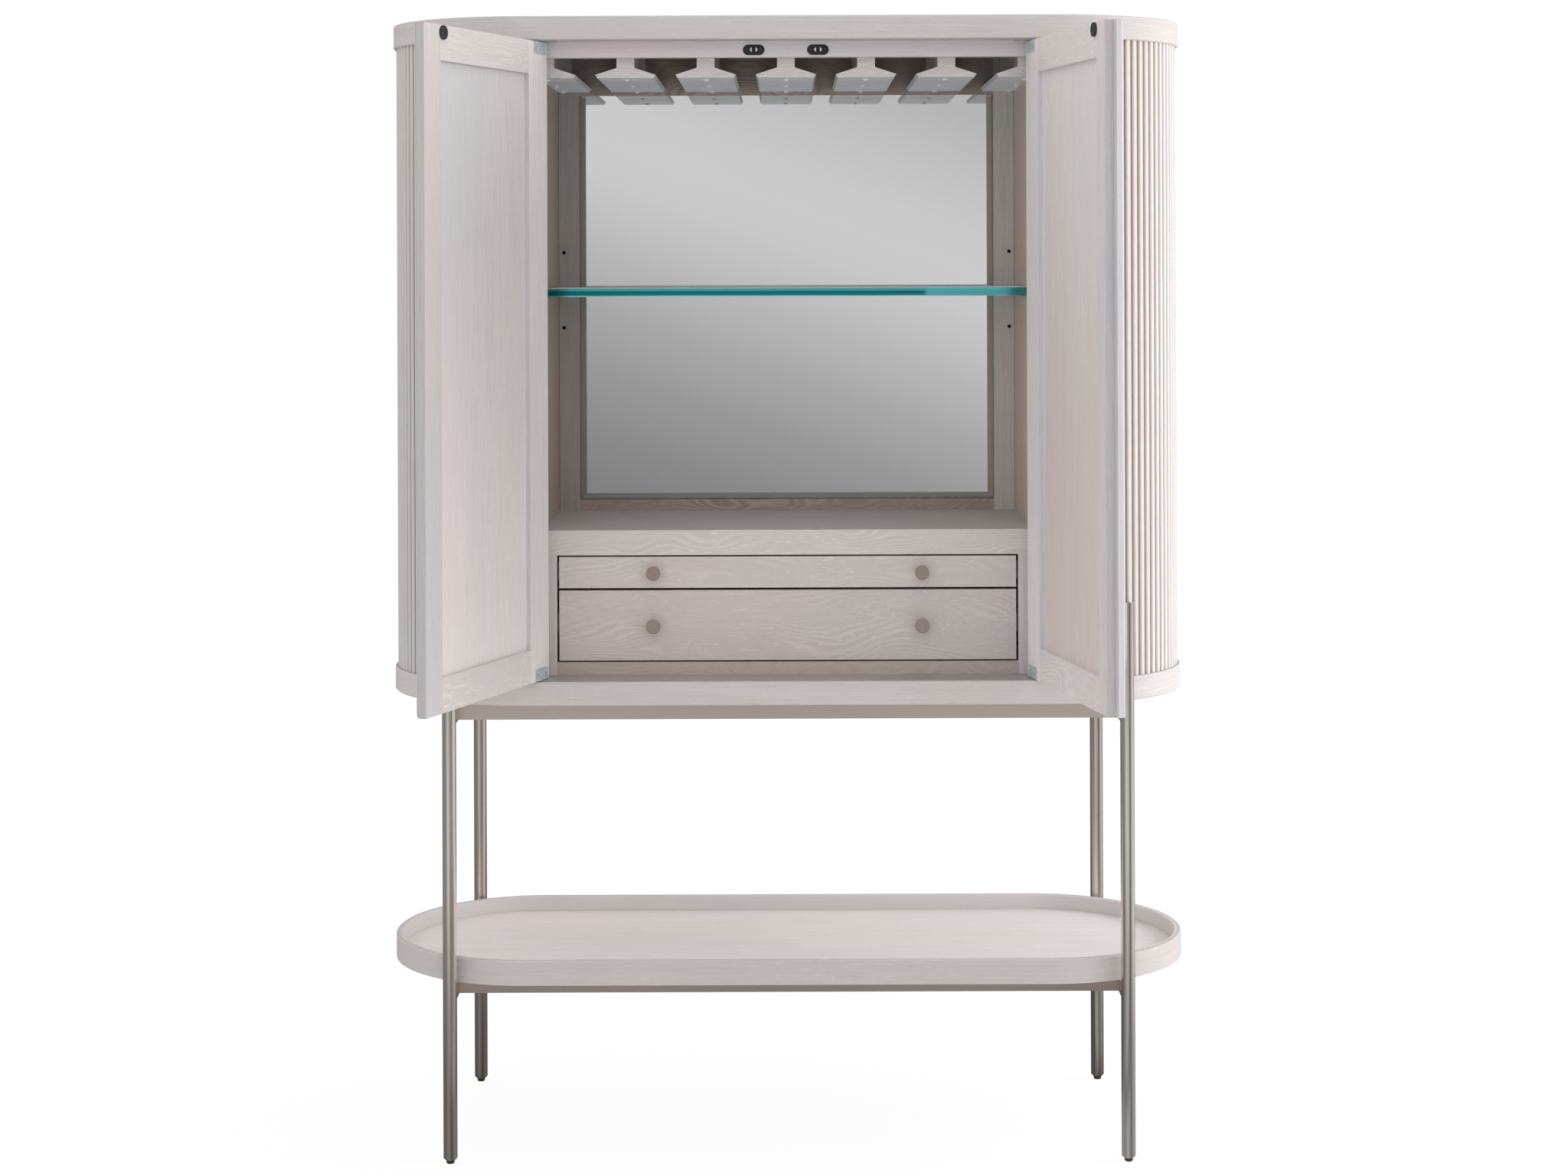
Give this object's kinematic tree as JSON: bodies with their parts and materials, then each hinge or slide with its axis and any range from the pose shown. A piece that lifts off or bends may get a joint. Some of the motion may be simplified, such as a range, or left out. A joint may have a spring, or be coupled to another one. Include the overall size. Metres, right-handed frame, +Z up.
{
  "type": "bar cabinet",
  "caption": "Bar cabinet with rounded reeded ends on a metal stand: hinged doors, mirror, glass shelf, stemware rails, drawers and a tray below.",
  "frame": {"origin": "on the floor, under the middle of the whole cabinet's bounding box with both doors open as modelled", "axes": "+X to the right of someone facing the open front, +Y towards the back, +Z up"},
  "size_m": [1.168, 0.754, 1.631],
  "materials": {
    "oak": "limed open-grain oak, matt",
    "oak_inside": "limed oak, matt, darker inside the case",
    "drawer_wood": "clear finished pale wood",
    "metal": "brushed champagne nickel",
    "zinc": "bright zinc plate",
    "glass": "clear float glass with green edges",
    "mirror": "silvered and bevelled",
    "catch": "black moulded catch",
    "strike": "black steel disc",
    "glide": "dark red-brown moulded foot on a steel stud"
  },
  "bodies": {
    "cabinet": {"top_board": "oak", "bottom_board": "oak", "right_end_core": "oak", "left_end_core": "oak", "right_end_slats": "oak", "left_end_slats": "oak", "back_panel": "oak", "side_walls": "oak_inside", "jambs": "oak", "top_face_rail": "oak", "magnetic_catches": "catch", "catch_poles": "metal", "mirror_stiles": "oak_inside", "mirror_rails": "oak_inside", "mirror": "mirror", "drawer_unit_top": "oak", "drawer_unit_sides": "oak", "drawer_bottom_rail": "oak", "slide_channels": "zinc", "glass_shelf": "glass", "shelf_pins": "zinc", "wine_glass_rails": "oak_inside", "wine_rail_screws": "metal", "hinge_plates": "zinc", "front_legs": "metal", "back_legs": "metal", "upper_side_rails": "metal", "upper_long_rails": "metal", "lower_side_rails": "metal", "lower_long_rails": "metal", "tray_floor": "oak", "tray_rim_sides": "oak", "tray_rim_ends": "oak"},
    "left_door": {"left_door_hinge_leaves": "zinc", "left_door_stiles": "oak", "left_door_rails": "oak", "left_door_panel": "oak", "left_door_reeded_face": "oak", "left_door_strike": "strike"},
    "right_door": {"right_door_hinge_leaves": "zinc", "right_door_stiles": "oak", "right_door_rails": "oak", "right_door_panel": "oak", "right_door_reeded_face": "oak", "right_door_strike": "strike"},
    "upper_drawer": {"upper_drawer_front": "oak", "upper_drawer_box": "drawer_wood", "upper_drawer_bottom": "drawer_wood", "upper_drawer_knobs": "metal", "upper_drawer_slides": "zinc"},
    "lower_drawer": {"lower_drawer_front": "oak", "lower_drawer_box": "drawer_wood", "lower_drawer_bottom": "drawer_wood", "lower_drawer_knobs": "metal", "lower_drawer_slides": "zinc"},
    "front_left_glide_foot": {"front_left_glide": "glide"},
    "front_right_glide_foot": {"front_right_glide": "glide"},
    "back_left_glide_foot": {"back_left_glide": "glide"},
    "back_right_glide_foot": {"back_right_glide": "glide"}
  },
  "joints": [
    {"name": "left_door_hinge", "type": "hinge", "parent": "cabinet", "child": "left_door", "pos_m": [-0.357, -0.02165, 0.6875], "axis": [0, 0, -1], "range_deg": [-110, 10]},
    {"name": "right_door_hinge", "type": "hinge", "parent": "cabinet", "child": "right_door", "pos_m": [0.357, -0.02165, 0.6875], "axis": [0, 0, 1], "range_deg": [-101.2, 18.8]},
    {"name": "upper_drawer_slide", "type": "slide", "parent": "cabinet", "child": "upper_drawer", "axis": [0, -1, 0], "range_m": [0, 0.22]},
    {"name": "lower_drawer_slide", "type": "slide", "parent": "cabinet", "child": "lower_drawer", "axis": [0, -1, 0], "range_m": [0, 0.22]},
    {"name": "front_left_glide_screw", "type": "hinge", "parent": "cabinet", "child": "front_left_glide_foot", "pos_m": [-0.48241, -0.02827, 0], "axis": [0, 0, 1], "range_deg": [-1080, 0]},
    {"name": "front_right_glide_screw", "type": "hinge", "parent": "cabinet", "child": "front_right_glide_foot", "pos_m": [0.48241, -0.02827, 0], "axis": [0, 0, 1], "range_deg": [-1080, 0]},
    {"name": "back_left_glide_screw", "type": "hinge", "parent": "cabinet", "child": "back_left_glide_foot", "pos_m": [-0.48241, 0.36696, 0], "axis": [0, 0, 1], "range_deg": [-1080, 0]},
    {"name": "back_right_glide_screw", "type": "hinge", "parent": "cabinet", "child": "back_right_glide_foot", "pos_m": [0.48241, 0.36696, 0], "axis": [0, 0, 1], "range_deg": [-1080, 0]}
  ]
}
